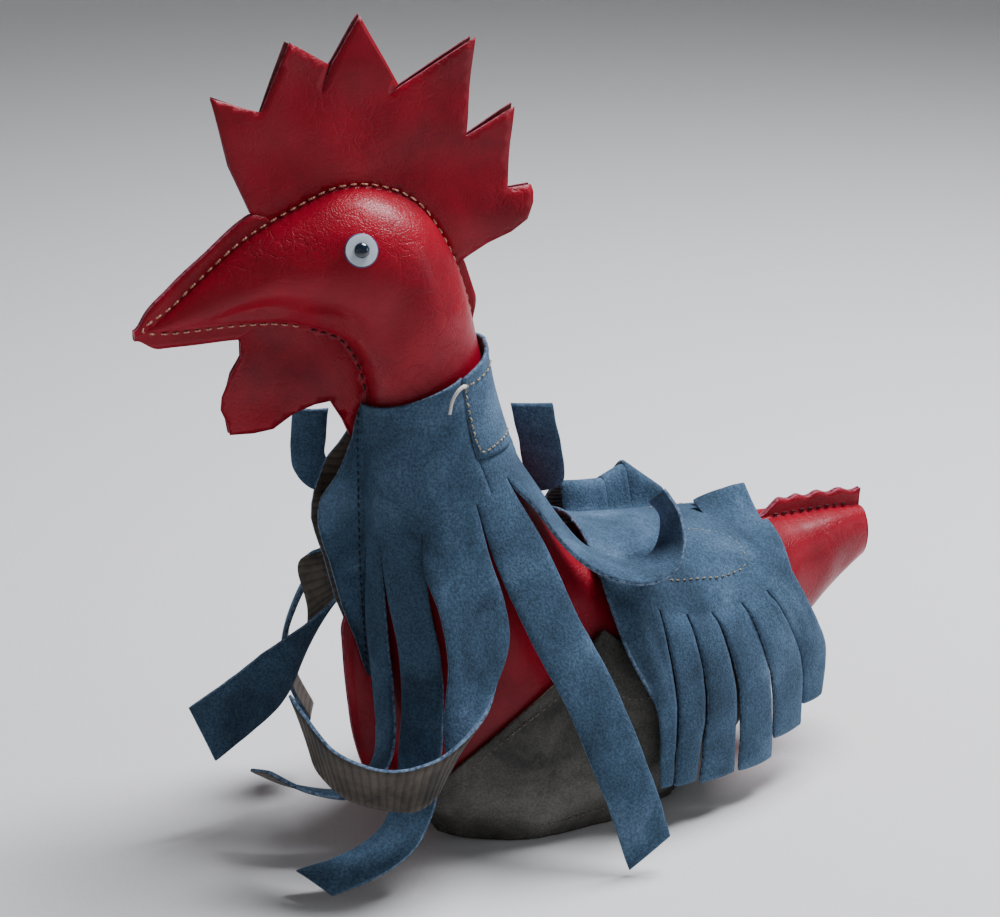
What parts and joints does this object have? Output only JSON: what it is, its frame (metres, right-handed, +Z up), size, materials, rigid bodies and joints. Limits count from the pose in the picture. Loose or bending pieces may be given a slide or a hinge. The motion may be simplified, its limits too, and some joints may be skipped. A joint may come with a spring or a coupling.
{
  "type": "stuffed leather rooster",
  "caption": "Hand-sewn standing rooster in glossy red leather, weighted in its base, with a fringed suede neck cape and a fringed suede saddle.",
  "frame": {"origin": "middle of the flat sole, where the seam plane meets the ground", "axes": "+Z up, -Y the way the beak points, +X the rooster's left side, X = 0 its seam plane"},
  "size_m": [0.1556, 0.314, 0.329],
  "materials": {
    "red_leather": "glossy pigment finish",
    "blue_suede": "brushed suede",
    "grey_suede": "rough flesh side",
    "eye_white": "satin",
    "eye_bead": "glossy",
    "thread": "waxed thread",
    "sole_leather": "stiff plain leather",
    "stuffing": "fibre wadding",
    "ballast_cloth": "plain cotton bag of sand"
  },
  "bodies": {
    "body": {"head_panel_left": "red_leather", "head_panel_right": "red_leather", "body_panel_left": "red_leather", "body_panel_right": "red_leather", "eye_disc_left": "eye_white", "eye_disc_right": "eye_white", "eye_pin_left": "eye_bead", "eye_pin_right": "eye_bead", "head_stuffing": "stuffing", "body_stuffing": "stuffing", "ballast_bag": "ballast_cloth", "base_sole": "sole_leather", "side_patch_left": "grey_suede", "side_patch_right": "grey_suede", "comb_root_left": "red_leather", "comb_root_right": "red_leather", "wattle_root_left": "red_leather", "wattle_root_right": "red_leather", "cape_front_left": "blue_suede", "cape_front_right": "blue_suede", "cape_back": "blue_suede", "cape_flange_left": "blue_suede", "cape_flange_right": "blue_suede", "saddle": "blue_suede", "head_thread_left": "thread", "head_thread_right": "thread", "patch_thread_left": "thread", "patch_thread_right": "thread", "saddle_thread_left": "thread", "saddle_thread_right": "thread", "collar_thread": "thread"},
    "comb": {"comb_blade_left": "red_leather", "comb_blade_right": "red_leather"},
    "wattle": {"wattle_leaf_left": "red_leather", "wattle_leaf_right": "red_leather"},
    "neck_strip_1": {"neck_strip_1": "blue_suede"},
    "neck_strip_2": {"neck_strip_2": "blue_suede"},
    "neck_strip_3": {"neck_strip_3": "blue_suede"},
    "neck_strip_4": {"neck_strip_4": "blue_suede"},
    "neck_strip_5": {"neck_strip_5": "blue_suede"},
    "neck_strip_6": {"neck_strip_6": "blue_suede"},
    "neck_strip_7": {"neck_strip_7": "blue_suede"},
    "neck_strip_8": {"neck_strip_8": "blue_suede"},
    "neck_strip_9": {"neck_strip_9": "blue_suede"},
    "neck_strip_10": {"neck_strip_10": "blue_suede"},
    "saddle_strip_1": {"saddle_strip_1": "blue_suede"},
    "saddle_strip_2": {"saddle_strip_2": "blue_suede"},
    "saddle_strip_3": {"saddle_strip_3": "blue_suede"},
    "saddle_strip_4": {"saddle_strip_4": "blue_suede"},
    "saddle_strip_5": {"saddle_strip_5": "blue_suede"},
    "saddle_strip_6": {"saddle_strip_6": "blue_suede"},
    "saddle_strip_7": {"saddle_strip_7": "blue_suede"},
    "saddle_strip_8": {"saddle_strip_8": "blue_suede"},
    "saddle_strip_9": {"saddle_strip_9": "blue_suede"},
    "saddle_strip_10": {"saddle_strip_10": "blue_suede"},
    "saddle_strip_11": {"saddle_strip_11": "blue_suede"},
    "saddle_strip_12": {"saddle_strip_12": "blue_suede"},
    "saddle_tab": {"saddle_tab": "blue_suede"}
  },
  "joints": [
    {"name": "comb_flex", "type": "hinge", "parent": "body", "child": "comb", "pos_m": [0, -0.06, 0.27738], "axis": [0, 1, 0], "range_deg": [-22, 22], "stiffness_Nm_per_rad": 0.1},
    {"name": "wattle_flex", "type": "hinge", "parent": "body", "child": "wattle", "pos_m": [0, -0.098, 0.19988], "axis": [0, 1, 0], "range_deg": [-24, 24], "stiffness_Nm_per_rad": 0.1},
    {"name": "neck_strip_1_flex", "type": "hinge", "parent": "body", "child": "neck_strip_1", "pos_m": [0.00912, -0.06631, 0.12415], "axis": [-0.8876, -0.2526, -0.3853], "range_deg": [-3, 5], "stiffness_Nm_per_rad": 0.06},
    {"name": "neck_strip_2_flex", "type": "hinge", "parent": "body", "child": "neck_strip_2", "pos_m": [0.0203, -0.05908, 0.13014], "axis": [-0.6764, -0.6102, -0.4124], "range_deg": [-3, 3], "stiffness_Nm_per_rad": 0.06},
    {"name": "neck_strip_3_flex", "type": "hinge", "parent": "body", "child": "neck_strip_3", "pos_m": [0.02925, -0.04271, 0.13901], "axis": [-0.1933, -0.8898, -0.4135], "range_deg": [0, 15], "stiffness_Nm_per_rad": 0.06},
    {"name": "neck_strip_4_flex", "type": "hinge", "parent": "body", "child": "neck_strip_4", "pos_m": [0.0283, -0.02465, 0.14708], "axis": [0.3535, -0.8608, -0.366], "range_deg": [-2, 25], "stiffness_Nm_per_rad": 0.06},
    {"name": "neck_strip_5_flex", "type": "hinge", "parent": "body", "child": "neck_strip_5", "pos_m": [0.01838, -0.01215, 0.15261], "axis": [0.7867, -0.5586, -0.2628], "range_deg": [-2, 12], "stiffness_Nm_per_rad": 0.06},
    {"name": "neck_strip_6_flex", "type": "hinge", "parent": "body", "child": "neck_strip_6", "pos_m": [-0.01276, -0.06402, 0.12604], "axis": [-0.8369, 0.3763, 0.3976], "range_deg": [-3, 8], "stiffness_Nm_per_rad": 0.06},
    {"name": "neck_strip_7_flex", "type": "hinge", "parent": "body", "child": "neck_strip_7", "pos_m": [-0.02511, -0.05425, 0.13329], "axis": [-0.5214, 0.7447, 0.4166], "range_deg": [-3, 11], "stiffness_Nm_per_rad": 0.06},
    {"name": "neck_strip_8_flex", "type": "hinge", "parent": "body", "child": "neck_strip_8", "pos_m": [-0.03044, -0.04049, 0.14015], "axis": [0.125, -0.9042, -0.4084], "range_deg": [-2, 8], "stiffness_Nm_per_rad": 0.06},
    {"name": "neck_strip_9_flex", "type": "hinge", "parent": "body", "child": "neck_strip_9", "pos_m": [-0.0283, -0.02465, 0.14708], "axis": [0.3535, 0.8608, 0.366], "range_deg": [-2, 25], "stiffness_Nm_per_rad": 0.06},
    {"name": "neck_strip_10_flex", "type": "hinge", "parent": "body", "child": "neck_strip_10", "pos_m": [-0.01838, -0.01215, 0.15261], "axis": [0.7867, 0.5586, 0.2628], "range_deg": [-5, 15], "stiffness_Nm_per_rad": 0.06},
    {"name": "saddle_strip_1_flex", "type": "hinge", "parent": "body", "child": "saddle_strip_1", "pos_m": [0.03872, 0.03007, 0.0993], "axis": [-0.2938, -0.7924, 0.5346], "range_deg": [-1, 38], "stiffness_Nm_per_rad": 0.06},
    {"name": "saddle_strip_2_flex", "type": "hinge", "parent": "body", "child": "saddle_strip_2", "pos_m": [0.04341, 0.04734, 0.08962], "axis": [-0.0761, -0.9514, 0.2985], "range_deg": [-1, 38], "stiffness_Nm_per_rad": 0.06},
    {"name": "saddle_strip_3_flex", "type": "hinge", "parent": "body", "child": "saddle_strip_3", "pos_m": [0.04355, 0.05914, 0.08717], "axis": [0.0552, -0.9922, 0.1114], "range_deg": [-1, 38], "stiffness_Nm_per_rad": 0.06},
    {"name": "saddle_strip_4_flex", "type": "hinge", "parent": "body", "child": "saddle_strip_4", "pos_m": [0.04203, 0.07253, 0.08673], "axis": [0.1558, -0.9874, -0.028], "range_deg": [-1, 38], "stiffness_Nm_per_rad": 0.06},
    {"name": "saddle_strip_5_flex", "type": "hinge", "parent": "body", "child": "saddle_strip_5", "pos_m": [0.0391, 0.08696, 0.08783], "axis": [0.2439, -0.9621, -0.1219], "range_deg": [-1, 38], "stiffness_Nm_per_rad": 0.06},
    {"name": "saddle_strip_6_flex", "type": "hinge", "parent": "body", "child": "saddle_strip_6", "pos_m": [0.03452, 0.10173, 0.09051], "axis": [0.3302, -0.9197, -0.2123], "range_deg": [-1, 36], "stiffness_Nm_per_rad": 0.06},
    {"name": "saddle_strip_7_flex", "type": "hinge", "parent": "body", "child": "saddle_strip_7", "pos_m": [-0.03723, 0.02493, 0.10256], "axis": [-0.3413, 0.7664, -0.5442], "range_deg": [-1, 18], "stiffness_Nm_per_rad": 0.06},
    {"name": "saddle_strip_8_flex", "type": "hinge", "parent": "body", "child": "saddle_strip_8", "pos_m": [-0.02428, 0.0414, 0.10936], "axis": [0.0084, 0.9954, -0.0959], "range_deg": [-3, 32], "stiffness_Nm_per_rad": 0.06},
    {"name": "saddle_strip_9_flex", "type": "hinge", "parent": "body", "child": "saddle_strip_9", "pos_m": [-0.02438, 0.05705, 0.10781], "axis": [0.0053, 0.996, -0.0893], "range_deg": [-3, 6], "stiffness_Nm_per_rad": 0.06},
    {"name": "saddle_strip_10_flex", "type": "hinge", "parent": "body", "child": "saddle_strip_10", "pos_m": [-0.02436, 0.07057, 0.10654], "axis": [-0.0043, 0.9952, -0.098], "range_deg": [-3, 38], "stiffness_Nm_per_rad": 0.06},
    {"name": "saddle_strip_11_flex", "type": "hinge", "parent": "body", "child": "saddle_strip_11", "pos_m": [-0.03919, 0.08651, 0.08779], "axis": [0.2411, 0.9631, 0.1197], "range_deg": [-1, 38], "stiffness_Nm_per_rad": 0.06},
    {"name": "saddle_strip_12_flex", "type": "hinge", "parent": "body", "child": "saddle_strip_12", "pos_m": [-0.03458, 0.10153, 0.09047], "axis": [0.3291, 0.9204, 0.2109], "range_deg": [-1, 36], "stiffness_Nm_per_rad": 0.06},
    {"name": "saddle_tab_flex", "type": "hinge", "parent": "body", "child": "saddle_tab", "pos_m": [0.003, 0.0846, 0.11235], "axis": [0.9365, 0.1249, -0.3278], "range_deg": [-2, 45], "stiffness_Nm_per_rad": 0.06}
  ]
}
